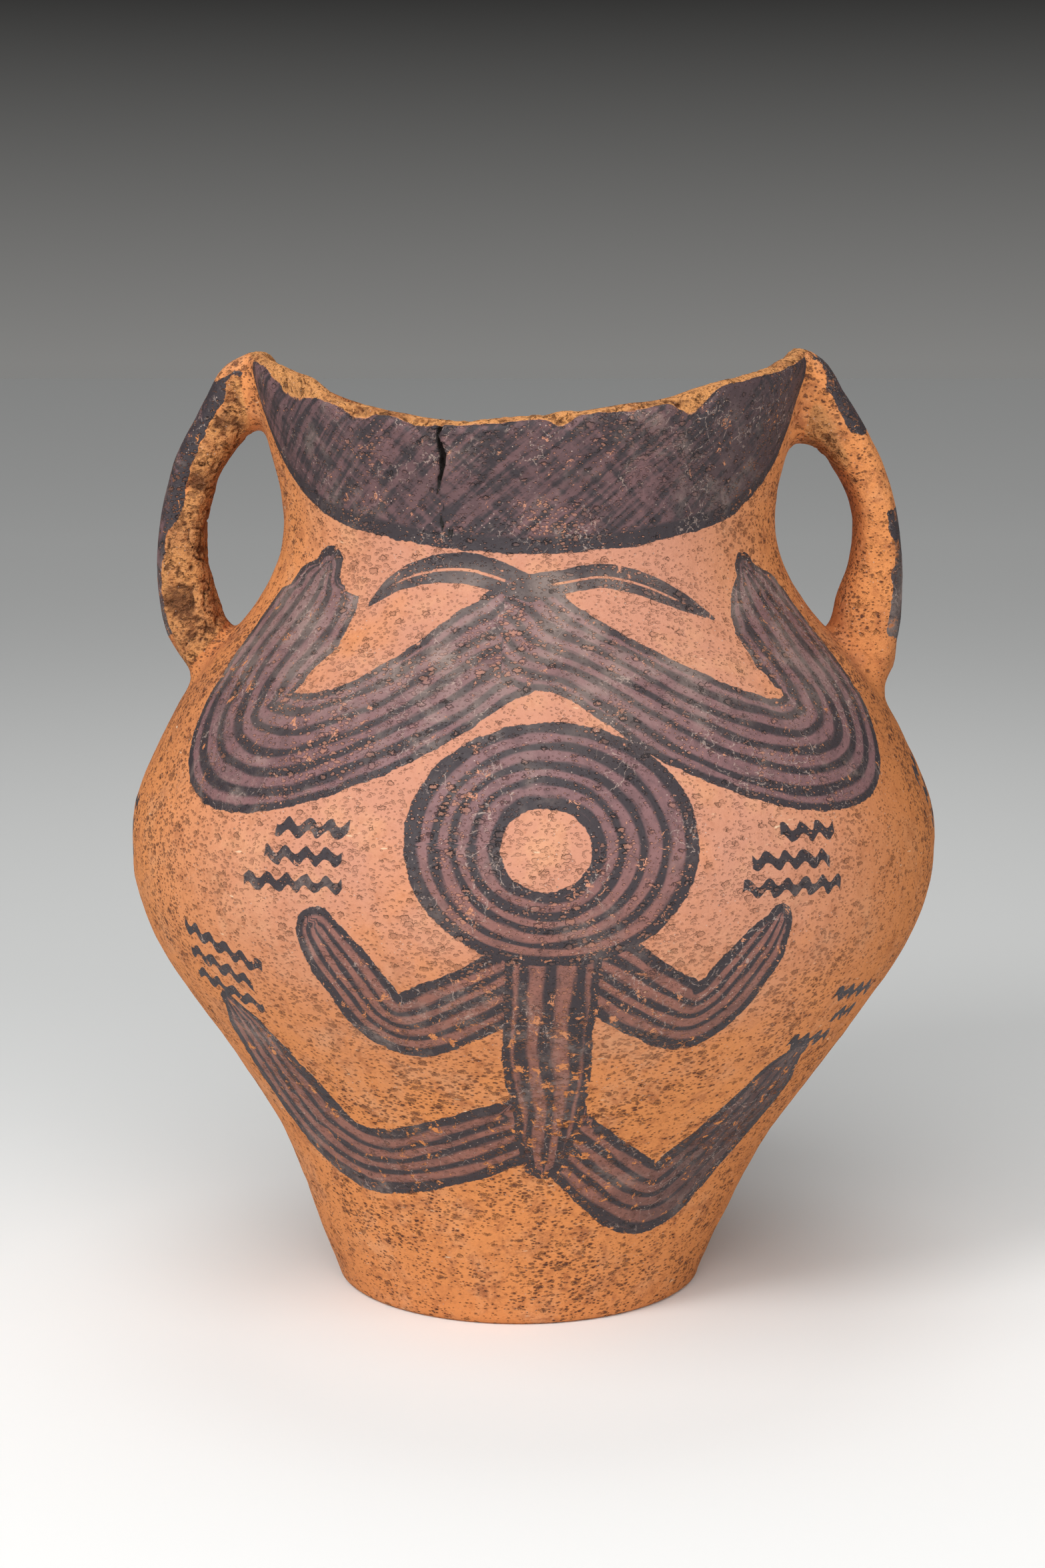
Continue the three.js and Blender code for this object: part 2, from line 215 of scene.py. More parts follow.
def body_mesh():
    angles = column_angles()
    turn = np.radians(angles)
    ragged = np.stack([np.cos(turn), np.sin(turn), np.zeros_like(turn)], 1) * MOUTH_RADIUS
    top = PEAK_HEIGHT - RIM_DIP * (1 - rim_share(angles)) - break_depth(angles, 3)
    top += 0.45 * noise(ragged, 9, 3, 3)
    edge = top - EDGE_WEAR - break_depth(angles, 2) - 0.5 * np.abs(noise(ragged, 5, 5, 3))
    lower = even_path((FOOT_BEVEL, LEVEL_ROWS_END), outer_radius, OUTER_STEP)
    upper_count = int(round((PEAK_HEIGHT - LEVEL_ROWS_END) / OUTER_STEP * RIM_ROW_SHARE))
    rings = [(outer_radius(0) - FOOT_BEVEL + 0 * angles, 0 * angles)]
    rings += [(outer_radius(h) + 0 * angles, h + 0 * angles) for h in lower]
    for share in np.linspace(0, 1, upper_count + 1)[1:]:
        height = LEVEL_ROWS_END + (edge - LEVEL_ROWS_END) * share
        rings.append((outer_radius(height), height))
    inner_top = top - EDGE_WEAR / 2
    start = np.stack([outer_radius(edge), edge])
    middle = np.stack([outer_radius(top) - WALL * 0.42, top + 0.0])
    end = np.stack([inner_radius(inner_top), inner_top])
    for share in np.linspace(0, 1, RIM_ROWS + 1)[1:]:
        round_off = start * (1 - share) ** 2 + 2 * share * (1 - share) * (2 * middle - (start + end) / 2)
        point = round_off + end * share ** 2
        rings.append((point[0], np.minimum(point[1], top + 0.3)))
    inner = even_path((NECK_HEIGHT, FLOOR + FLOOR_CORNER), inner_radius, INNER_STEP)
    for share in np.linspace(0, 1, 9)[1:-1]:
        height = inner_top + (NECK_HEIGHT - inner_top) * share
        rings.append((inner_radius(height), height))
    rings += [(inner_radius(h) + 0 * angles, h + 0 * angles) for h in inner]
    corner_top = FLOOR + FLOOR_CORNER
    for step in range(1, 6):
        bend = step / 5 * np.pi / 2
        radius = inner_radius(corner_top) - FLOOR_CORNER * (1 - np.cos(bend))
        rings.append((radius + 0 * angles, corner_top - FLOOR_CORNER * np.sin(bend) + 0 * angles))
    radius = np.stack([r for r, _ in rings], 1)
    height = np.stack([h for _, h in rings], 1)
    points = np.stack([axis_offset(height) + radius * np.sin(turn)[:, None],
                       -radius * np.cos(turn)[:, None], height], -1)
    columns, rows = height.shape
    points = np.vstack([points.reshape(-1, 3), [[0, 0, 0], [axis_offset(FLOOR), 0, FLOOR]]])
    column, row = np.meshgrid(np.arange(columns), np.arange(rows - 1), indexing="ij")
    after = (column + 1) % columns
    quads = np.stack([column * rows + row, after * rows + row, after * rows + row + 1,
                      column * rows + row + 1], -1).reshape(-1, 4)
    ring, after = np.arange(columns), (np.arange(columns) + 1) % columns
    foot, floor = len(points) - 2, len(points) - 1
    fans = [(foot, after[i] * rows, i * rows) for i in ring]
    fans += [(floor, i * rows + rows - 1, after[i] * rows + rows - 1) for i in ring]
    return points, quads.tolist() + fans


# The strap handles, rounded oblong in section, ending half way through the wall
STRAP_STEPS, STRAP_SIDES, CORNER_POWER = 92, 48, 0.62


def strap_line(side):
    strap = STRAPS[side]
    top = PEAK_HEIGHT - STRAP_TOP_INSET
    foot = top - STRAP_DROP
    top_out = side * axis_offset(top) + inner_radius(top) - ROOT_DEPTH
    foot_out = side * axis_offset(foot) + inner_radius(foot) - ROOT_DEPTH
    points = [(side * (top_out + (foot_out - top_out) * down + strap["reach"] * out),
               top + (foot - top) * down) for down, out in strap["line"]]
    curve = catmull_rom(points, 40)
    length = np.concatenate([[0], np.cumsum(np.hypot(*np.diff(curve, axis=0).T))])
    share = np.linspace(0, 1, STRAP_STEPS + 1)
    line = np.stack([np.interp(share * length[-1], length, curve[:, axis]) for axis in (0, 1)], 1)
    tangent = np.gradient(line, axis=0)
    tangent /= np.linalg.norm(tangent, axis=1, keepdims=True)
    outward = np.stack([-tangent[:, 1], tangent[:, 0]], 1) * side
    return share, line, outward


def strap_half(side, share, outside):
    """Half thickness of a strap outward of its line where outside is true, else inward of it."""
    strap = STRAPS[side]
    swell = np.where(outside, lookup(strap["outward"])(share), lookup(strap["inward"])(share))
    return STRAP_THICKNESS / 2 * swell


def strap_mesh(side):
    strap = STRAPS[side]
    share, line, outward = strap_line(side)
    wide = STRAP_WIDTH / 2 * lookup(WIDTH_SWELL)(share)
    turn = np.arange(STRAP_SIDES) / STRAP_SIDES * 2 * np.pi
    across = np.sign(np.cos(turn)) * np.abs(np.cos(turn)) ** CORNER_POWER
    out = np.sign(np.sin(turn)) * np.abs(np.sin(turn)) ** CORNER_POWER
    broken = strap["edge_break"] * np.sin(np.pi * share)
    sideways = across * wide[:, None] + broken[:, None] * np.maximum(0, -across)
    thick = strap_half(side, share[:, None], out[None] > 0)
    place = line[:, None, :] + outward[:, None, :] * (out * thick)[..., None]
    points = np.stack([place[..., 0], sideways, place[..., 1]], -1).reshape(-1, 3)
    radial = np.stack([points[:, 0] - axis_offset(points[:, 2]), points[:, 1]], 1)
    distance = np.linalg.norm(radial, axis=1)
    least = inner_radius(np.minimum(points[:, 2], PEAK_HEIGHT)) + WALL * 0.5
    pushed = np.maximum(distance, least) / distance
    points[:, 0] = axis_offset(points[:, 2]) + radial[:, 0] * pushed
    points[:, 1] = radial[:, 1] * pushed
    faces = []
    for step in range(STRAP_STEPS):
        for corner in range(STRAP_SIDES):
            after = (corner + 1) % STRAP_SIDES
            quad = [step * STRAP_SIDES + corner, step * STRAP_SIDES + after,
                    (step + 1) * STRAP_SIDES + after, (step + 1) * STRAP_SIDES + corner]
            faces.append(quad if side > 0 else quad[::-1])
    last = STRAP_STEPS * STRAP_SIDES
    first_cap = list(range(STRAP_SIDES))[::-1]
    last_cap = [last + corner for corner in range(STRAP_SIDES)]
    faces += [first_cap, last_cap] if side > 0 else [first_cap[::-1], last_cap[::-1]]
    return points, faces


def mesh_object(name, points, faces):
    mesh = bpy.data.meshes.new(name)
    mesh.from_pydata([tuple(p) for p in points], [], [tuple(f) for f in faces])
    mesh.update()
    piece = bpy.data.objects.new(name, mesh)
    bpy.context.scene.collection.objects.link(piece)
    return piece


def joined_jar():
    """Body and straps as one skin, in millimetres."""
    jar = mesh_object("fired_jar", *body_mesh())
    for side in STRAPS:
        strap = mesh_object("strap", *strap_mesh(side))
        join = jar.modifiers.new("join", "BOOLEAN")
        join.operation, join.solver, join.object = "UNION", "MANIFOLD", strap
        graph = bpy.context.evaluated_depsgraph_get()
        merged = bpy.data.meshes.new_from_object(jar.evaluated_get(graph))
        jar.modifiers.clear()
        jar.data = merged
        bpy.data.objects.remove(strap)
    return jar


def read(items, name="co", width=3, kind=float):
    flat = np.empty(len(items) * width, dtype=kind)
    items.foreach_get(name, flat)
    return flat.reshape(-1, width)


def write_points(mesh, points):
    mesh.vertices.foreach_set("co", points.ravel())
    mesh.update()


def relax(points, edges, weight, rounds):
    count = np.maximum(np.bincount(edges.ravel(), minlength=len(points)), 1)[:, None]
    for _ in range(rounds):
        total = np.stack([np.bincount(edges[:, 0], points[edges[:, 1], axis], len(points))
                          + np.bincount(edges[:, 1], points[edges[:, 0], axis], len(points))
                          for axis in range(3)], 1)
        points = points + weight[:, None] * (total / count - points)
    return points


def split_edges(mesh, chosen, longest):
    """Halve the longer edges between chosen points, for relief finer than the rest of the mesh."""
    work = bmesh.new()
    work.from_mesh(mesh)
    edges = [edge for edge in work.edges
             if all(chosen[vert.index] for vert in edge.verts) and edge.calc_length() > longest]
    bmesh.ops.subdivide_edges(work, edges=edges, cuts=1, use_grid_fill=True)
    work.to_mesh(mesh)
    work.free()
    mesh.update()


def body_place(points):
    """Angle from the front in degrees, distance from the axis, and height."""
    x = points[:, 0] - axis_offset(points[:, 2])
    return np.degrees(np.arctan2(x, -points[:, 1])), np.hypot(x, points[:, 1]), points[:, 2]


def strap_place(points, side):
    """Points near a strap, their share along it, place outward of its line and distance from it."""
    share, line, outward = strap_line(side)
    near = np.flatnonzero((points[:, 0] * side > 60) & (points[:, 2] > 180) & (np.abs(points[:, 1]) < 34))
    offset = points[near][:, None, [0, 2]] - line[None]
    closest = np.argmin((offset ** 2).sum(-1), axis=1)
    out = (offset[np.arange(len(near)), closest] * outward[closest]).sum(-1)
    away = np.linalg.norm(offset[np.arange(len(near)), closest], axis=1)
    return near, share[closest], out, away


def segment_distance(points, path):
    """Distance to an open polyline, and the place along it, for points in any number of axes."""
    best = np.full(len(points), 1e9)
    travel = np.zeros(len(points))
    index = np.zeros(len(points), int)
    run = 0.0
    for number, (start, end) in enumerate(zip(path, path[1:])):
        span = end - start
        length = np.linalg.norm(span)
        t = np.clip(((points - start) @ span) / max(length ** 2, 1e-9), 0, 1)
        distance = np.linalg.norm(points - start - t[:, None] * span, axis=1)
        closer = distance < best
        best = np.where(closer, distance, best)
        travel = np.where(closer, run + t * length, travel)
        index = np.where(closer, number, index)
        run += length
    return best, travel, index


# The painted figure. A band is a centre line of (degrees from the front, height, half width)
# filled with a number of strokes laid side by side, as wide brush work is.
LEFT_BIG_ARM = [(9, 222, 10), (0.3, 216, 15.5), (-3.6, 211, 17.5), (-9.4, 206.6, 17.4),
                (-16.4, 198.8, 17.6), (-24.5, 190, 17), (-35.5, 181.8, 17.3), (-45.5, 180.5, 20.3),
                (-51.5, 186, 22.6), (-52.9, 200, 21.5), (-52.9, 211.5, 24.2), (-50.9, 221, 20.5),
                (-50.6, 225.5, 15), (-49.8, 229, 7)]
RIGHT_BIG_ARM = [(-10, 222, 10), (-3, 217, 15), (0.8, 211.6, 17), (8.3, 207.2, 14.6), (16, 200.2, 15.5),
                 (23.8, 191.8, 17), (33.6, 183.4, 17), (42.6, 179.2, 17.6), (51.5, 182.5, 20.7),
                 (55, 193.5, 22), (55.4, 203.5, 22.2), (56.4, 213, 22.3), (55.8, 220, 18.8),
                 (55, 224.5, 14), (54.3, 228.5, 5.5)]
LOWER_LEFT_ARM = [(6, 129, 11.5), (0, 123.5, 11.4), (-8, 114.3, 11.7), (-17, 105.8, 12.3),
                  (-21.7, 108, 11.4), (-24.3, 116.5, 10.6), (-26.7, 124.5, 10), (-28.8, 132.5, 7.6)]
LOWER_RIGHT_ARM = [(-3, 133, 11), (3, 128.8, 11.6), (9, 123.3, 12.5), (15, 114.5, 12.2), (21.8, 108, 12.6),
                   (25.6, 112, 11), (28.6, 120.5, 9.8), (31.3, 128.5, 8.4), (33.2, 135.5, 4.6)]
LEFT_LEG = [(9, 77, 11.5), (2.5, 73.5, 12.4), (-4, 69.3, 13.2), (-12, 64, 13.2), (-20, 59.5, 12.8),
            (-29, 55.8, 13), (-38.5, 56.5, 15.4), (-46.3, 64, 18), (-50, 78, 17), (-51, 90, 13.5),
            (-51, 98, 9.5), (-51.5, 103.5, 4.5)]
RIGHT_LEG = [(-4, 79, 11), (2.5, 71, 12), (8.5, 63, 12.3), (16.2, 53.3, 12.6), (24.5, 45.2, 13.8),
             (32, 43.8, 15.3), (39, 53.5, 14.8), (44, 64.5, 14.5), (46.5, 74, 13.5), (47.5, 81.5, 10.8),
             (49, 87, 5.5)]
TORSO = [(2.5, 132, 13.5), (2.2, 118, 13), (1.8, 100, 12.7), (2.0, 90, 12.3), (2.6, 78, 10.3),
         (2.6, 68, 9), (3.0, 58, 6)]
LEFT_WHISKER = [(-35, 219.3, 0.4), (-31.5, 224.2, 2.2), (-27.5, 227.8, 3.4), (-20.5, 230.6, 4.2),
                (-13, 231, 4.6), (-6, 228.5, 4.4), (0, 225.5, 4)]
RIGHT_WHISKER = [(0, 226, 4), (7, 227.6, 3.6), (14.5, 229, 3.6), (21, 227.6, 3.7), (27, 224.6, 3.7),
                 (33, 220.3, 2.8), (38.7, 215.6, 0.4)]
ARMS_MEET, ARMS_OVERLAP = -1.5, 4.0
HEAD_CENTRE, HEAD_RADII = (2.3, 158.4), (41.5, 32.5)
HOLE_CENTRE, HOLE_RADII = (1.4, 157.9), (12.4, 11.0)
HEAD_STROKES, TORSO_STROKES, WHISKER_STROKES = 5.0, 3.4, 2.0
BIG_STROKES, SMALL_STROKES, BACK_STROKES = 6.0, 5.0, 4.0
BARE = np.array([-30.0, 0, 0])

# Lower edge of the painted band on the neck, by degrees from the nearer face's middle
NECK_EDGE = lookup([(0, 235.2), (10, 235.8), (22, 237), (34, 239.6), (44, 242), (52, 245),
                    (60, 250.5), (66, 256), (72, 266), (77, 282), (80, 300)])

# Wavy marks: middle (degrees, height), tilt in degrees, and the length of each line in the group
# as (start, end) in millimetres from the middle, top line first
WAVE_GAP = 8.6
MARKS = [
    (-31.5, 153.5, 3, [(-9, 14), (-12, 13), (-20, 13)]),
    (-48.5, 115.5, -17, [(-17, 16), (-15, 11), (-14, 13)]),
    (36.5, 151.5, -4, [(-5, 14), (-16, 11), (-19, 16)]),
    (55.5, 98.0, -7, [(-13, 13), (-2, 10), (-19, 4)]),
    (80.0, 160.0, 20, [(-9, 8), (-9, 9), (-10, 10)]),
    (-82.0, 148.0, 0, [(-9, 9), (-10, 8), (-9, 9)]),
    (104.0, 112.0, 10, [(-12, 12), (-10, 11), (-12, 9)]),
    (-106.0, 110.0, -10, [(-12, 12), (-10, 10), (-12, 12)]),
]


def surface_point(angle, height):
    turn, radius = np.radians(angle), outer_radius(height)
    return np.stack([axis_offset(height) + radius * np.sin(turn), -radius * np.cos(turn),
                     height + 0 * turn], -1)


def paint_band(points, stations, strokes, turned=0.0):
    """Depth inside the band (mm), stroke number from its middle, and place along it."""
    smooth = catmull_rom(stations, 8)
    path = surface_point(smooth[:, 0] + turned, smooth[:, 1])
    distance, travel, index = segment_distance(points, path)
    lengths = np.concatenate([[0], np.cumsum(np.linalg.norm(np.diff(path, axis=0), axis=1))])
    half = np.interp(travel, lengths, smooth[:, 2])
    nearest = np.stack([np.interp(travel, lengths, path[:, axis]) for axis in range(3)], 1)
    ahead = path[index + 1] - path[index]
    facing = nearest * np.array([1, 1, 0])
    side = np.sign(np.einsum("ij,ij->i", np.cross(ahead, points - nearest), facing))
    share = np.clip(side * distance / np.maximum(half, 0.5), -1.3, 1.3)
    depth = np.where(travel > 0.01, half - distance, -30)
    return np.stack([depth, share * strokes / 2, travel], 1)


def one_side(values, points, turned, side):
    """Keep a band on its own side of the line down the chest, where the big arms meet."""
    angle = half_turn(body_place(points)[0] - turned)
    own = (angle - ARMS_MEET) * side > -ARMS_OVERLAP
    return np.where(own[:, None], values, BARE)


def layer(bands):
    """The band that each point lies deepest in."""
    stack = np.stack(bands)
    best = np.argmax(stack[:, :, 0], axis=0)
    return stack[best, np.arange(stack.shape[1])]


def head_layer(angle, height, turned):
    """The round head as rings of strokes between its outline and its bare middle."""
    radius = outer_radius(height)
    apart = half_turn(angle - turned - HEAD_CENTRE[0])
    side, up = np.radians(apart) * radius, (height - HEAD_CENTRE[1])
    out = np.hypot(side / HEAD_RADII[0], up / HEAD_RADII[1])
    hole_side = np.radians(half_turn(angle - turned - HOLE_CENTRE[0])) * radius
    hole = np.hypot(hole_side / HOLE_RADII[0], (height - HOLE_CENTRE[1]) / HOLE_RADII[1])
    from_rim = (1 - out) * (HEAD_RADII[0] + HEAD_RADII[1]) / 2
    from_hole = (hole - 1) * (HOLE_RADII[0] + HOLE_RADII[1]) / 2
    share = from_hole / np.maximum(from_hole + from_rim, 1e-3)
    run = np.arctan2(up, side) * 26
    return np.stack([np.minimum(from_rim, from_hole), (share - 0.5) * HEAD_STROKES, run], 1)


def marks_layer(angle, height):
    """Place along and across the nearest group of wavy lines, and depth inside a line's reach."""
    found = np.full((len(angle), 3), -50.0)
    for middle, level, tilt, lines in MARKS:
        side = np.radians(half_turn(angle - middle)) * outer_radius(height)
        up = (height - level) * np.hypot(1, 0.55)
        turn = math.radians(tilt)
        run = side * math.cos(turn) + up * math.sin(turn)
        rise = up * math.cos(turn) - side * math.sin(turn)
        depth = np.full(len(angle), -50.0)
        for number, (start, end) in enumerate(lines):
            across = np.abs(rise - (1 - number) * WAVE_GAP)
            reach = np.minimum(np.minimum(run - start, end - run), WAVE_GAP * 0.5 - across)
            depth = np.maximum(depth, reach)
        better = depth > found[:, 2]
        found[better] = np.stack([run, rise, depth], 1)[better]
    return found


# Surface finish
CRACK = [(-17.6, 274), (-18.7, 267.3), (-17.6, 262.9), (-18.8, 257.1), (-20.0, 251.7), (-18.6, 249),
         (-19.5, 243.5), (-16.9, 240.5)]
PIT_COUNT, PIT_SEED = 520, 11
LUMP, WAVE, GRAIN = 0.55, 0.22, 0.10
SOFTEN_WEIGHT, SOFTEN_ROUNDS, CRUMB_EDGE = 0.6, 26, 0.95
CRACK_HALF, CRACK_FLARE, CRACK_DEPTH = 0.42, 0.55, 2.6


def strap_fields(points):
    """How free of the body each point is, how broken, and the paint's depth and place, on the straps."""
    _, radius, height = body_place(points)
    outside = radius - outer_radius(height)
    soften, broken = np.zeros(len(points)), np.zeros(len(points))
    paint, level = np.full(len(points), -30.0), np.zeros(len(points))
    for side in STRAPS:
        near, share, out, away = strap_place(points, side)
        depth_y, up = points[near, 1], points[near, 2]
        thick = strap_half(side, share, out > 0)
        skin = np.maximum(away - thick, np.abs(depth_y) - STRAP_WIDTH * 0.5)
        close = (1 - smoothstep(np.abs(outside[near]), 3, 11)) * (1 - smoothstep(np.abs(skin), 3, 11))
        soften[near] = np.maximum(soften[near], close)
        free = smoothstep(outside[near], 2, 7)
        patchy = noise(points[near], 13, 51, 2)
        if side < 0:
            strip = 1.8 + 4.2 * smoothstep(up, 222, 252) + 3.2 * patchy
            front = smoothstep(-depth_y, 1.0, 6.0) * (1 - 0.95 * smoothstep(out - thick + strip, -0.9, 0.9))
            lump = 0.8 * smoothstep(-out, 0, 4)
        else:
            front = 0.3 * smoothstep(-depth_y, 9, 12)
            lump = 0.9 * smoothstep(up, 252, 262) * smoothstep(-out, 0, 5) * (1 - smoothstep(up, 276, 284))
        broken[near] = np.maximum(broken[near], np.maximum(front, lump) * free)
        edge = STRAP_WIDTH / 2 - np.abs(depth_y) + (3.0 if side < 0 else 1.5)
        ends = np.minimum(up - 206, 286 - up) * 0.6
        if side > 0:
            ends = np.where(-depth_y > 4, np.maximum(np.minimum(ends, 246 - up), 1.2 * (up - 268)), ends)
        reach = np.where((side > 0) & (-depth_y > 4), 4.6, 6.5)
        face = np.minimum(np.minimum(edge, ends), (out - thick + reach) * 1.2) + 2.5 * patchy - 0.5
        face += 1.8 * noise(points[near], 4.5, 53, 2)
        paint[near] = np.where(outside[near] > 1.0, face, -30.0)
        level[near] = up
    return soften, broken, paint, level


def rim_break(points):
    """How broken the rim's top is at each point."""
    _, radius, height = body_place(points)
    on_top = smoothstep(outer_radius(height) - radius, 0.5, 1.8) * (radius > inner_radius(height) + 0.4)
    return on_top * (height > NECK_HEIGHT + 12)


def finish_surface(jar):
    mesh = jar.data
    points = read(mesh.vertices)

    # Soften the joints between the straps and the body
    soften, _, _, _ = strap_fields(points)
    angle, _, height = body_place(points)
    above_rim = (height > PEAK_HEIGHT - 12) & (np.abs(np.abs(angle) - 90) < 16)
    soften = np.where(above_rim, np.maximum(soften, 0.7), soften)
    edges = read(mesh.edges, "vertices", 2, np.int32)
    write_points(mesh, relax(points, edges, SOFTEN_WEIGHT * soften, SOFTEN_ROUNDS))

    points = read(mesh.vertices)
    crumbly = np.maximum(strap_fields(points)[1], rim_break(points)) > 0.3
    split_edges(mesh, crumbly, CRUMB_EDGE)
    points = read(mesh.vertices)
    normals = read(mesh.vertex_normals, "vector")
    angle, radius, height = body_place(points)
    _, strap_break, strap_paint, strap_along = strap_fields(points)
    on_floor = (height < FLOOR + 1) & (radius < FOOT_RADIUS * 0.8)
    inside_face = (radius < outer_radius(height) - WALL * 0.8) | on_floor

    # Hand-smoothed waves, grain and pits
    lumps = LUMP * noise(points, 55, 21, 2) + WAVE * noise(points * np.array([1, 1, 2.2]), 17, 22, 2)
    grain = GRAIN * noise(points, 3.2, 23, 2)
    fracture = np.clip(np.maximum(rim_break(points), strap_break), 0, 1)
    crack_lines = np.abs(noise(points, 5.5, 33, 2))
    crumb = (noise(points, 2.2, 31, 2) * 0.42 + noise(points, 9, 32, 2) - 0.30
             - np.clip(1 - crack_lines / 0.06, 0, 1))
    push = lumps + grain + fracture * crumb
    coil_marks = 0.25 * noise(points * np.array([0.3, 0.3, 1]), 9, 24, 1)
    push = np.where(inside_face, lumps * 0.5 + coil_marks, push)

    rng = np.random.default_rng(PIT_SEED)
    pit_angle, pit_height = rng.uniform(-180, 180, PIT_COUNT), rng.uniform(6, 262, PIT_COUNT)
    pit_size, pit_depth = rng.uniform(1.3, 3.0, PIT_COUNT), rng.uniform(0.35, 0.9, PIT_COUNT)
    pit_centres = surface_point(pit_angle, pit_height)
    order = np.argsort(height)
    levels = height[order]
    pits = np.zeros(len(points))
    for centre, size, depth in zip(pit_centres, pit_size, pit_depth):
        low, high = np.searchsorted(levels, [centre[2] - size * 1.5, centre[2] + size * 1.5])
        near = order[low:high]
        distance = np.linalg.norm((points[near] - centre) * np.array([1, 1, 1.2]), axis=1)
        pits[near] = np.maximum(pits[near], depth * np.clip(1 - (distance / size) ** 2, 0, 1))
    push -= pits

    crack_path = surface_point(*np.array(CRACK).T)
    crack_distance, crack_run, _ = segment_distance(points, crack_path)
    crack_distance = np.abs(crack_distance + 0.9 * noise(points, 2.8, 41, 2))
    outer_face = np.abs(radius - outer_radius(height)) < WALL * 1.4
    crack_width = CRACK_FLARE * (1 - smoothstep(crack_run, 8, 32)) + CRACK_HALF
    groove = np.clip(1 - crack_distance / crack_width, 0, 1) * outer_face
    push -= CRACK_DEPTH * groove * (1 - 0.6 * smoothstep(crack_run, 10, 34))

    standing = smoothstep(height, 0.2, 3.0)
    points = points + normals * (push * standing)[:, None]
    points = np.clip(points, np.array(CAD_BOX[0]) / MM, np.array(CAD_BOX[1]) / MM)
    write_points(mesh, points)

    # What the shader needs to know at each point
    def big_arm(stations, side):
        return [one_side(paint_band(points, stations, strokes, turned), points, turned, side)
                for strokes, turned in ((BIG_STROKES, 0), (BACK_STROKES, 180))]

    small_bands = [paint_band(points, stations, strokes, turned)
                   for strokes, turned in ((SMALL_STROKES, 0), (BACK_STROKES, 180))
                   for stations in (LOWER_LEFT_ARM, LOWER_RIGHT_ARM, LEFT_LEG, RIGHT_LEG)]
    torsos = [paint_band(points, TORSO, TORSO_STROKES, turned) for turned in (0, 180)]
    whiskers = [paint_band(points, stations, WHISKER_STROKES) for stations in (LEFT_WHISKER, RIGHT_WHISKER)]
    outer_skin = radius > outer_radius(height) - WALL * 0.6
    near_strap = (np.abs(points[:, 1]) < 25) & (np.abs(points[:, 0]) > 70)
    outer = ~inside_face & outer_skin | near_strap
    free_strap = strap_paint > BARE[0] + 1

    def only_outer(values):
        keep = outer & outer_skin & (radius < outer_radius(height) + 6)
        return np.where(keep[:, None], values, BARE)

    facing = np.minimum(np.abs(angle), 180 - np.abs(angle))
    neck_depth = np.minimum(height - NECK_EDGE(facing), 60)
    neck_depth = np.where(facing > 80, -30, neck_depth)
    neck = only_outer(np.stack([neck_depth, np.radians(angle) * 80, height], 1))
    neck = np.where(free_strap[:, None], np.stack([strap_paint, points[:, 1], strap_along], 1), neck)
    heads = [head_layer(angle, height, turned) for turned in (0, 180)]
    store(mesh, "paint_neck", neck)
    for name, bands in (("left", big_arm(LEFT_BIG_ARM, -1)), ("right", big_arm(RIGHT_BIG_ARM, 1)),
                        ("small", small_bands), ("torso", torsos), ("head", heads), ("whisker", whiskers)):
        store(mesh, "paint_" + name, only_outer(layer(bands)))
    marks = marks_layer(angle, height)
    store(mesh, "paint_marks", np.where((outer & ~free_strap)[:, None], marks, np.array([0, 0, -50.0])))
    hollow = np.clip(-push / 1.5, 0, 1)
    store(mesh, "breaks_and_hollows", np.stack([fracture, hollow, groove], 1))
    store(mesh, "place", np.stack([angle, inside_face.astype(float), 0 * angle], 1))
    return jar


def store(mesh, name, values):
    held = mesh.attributes.new(name, "FLOAT_VECTOR", "POINT")
    held.data.foreach_set("vector", np.ascontiguousarray(values, dtype=np.float32).ravel())


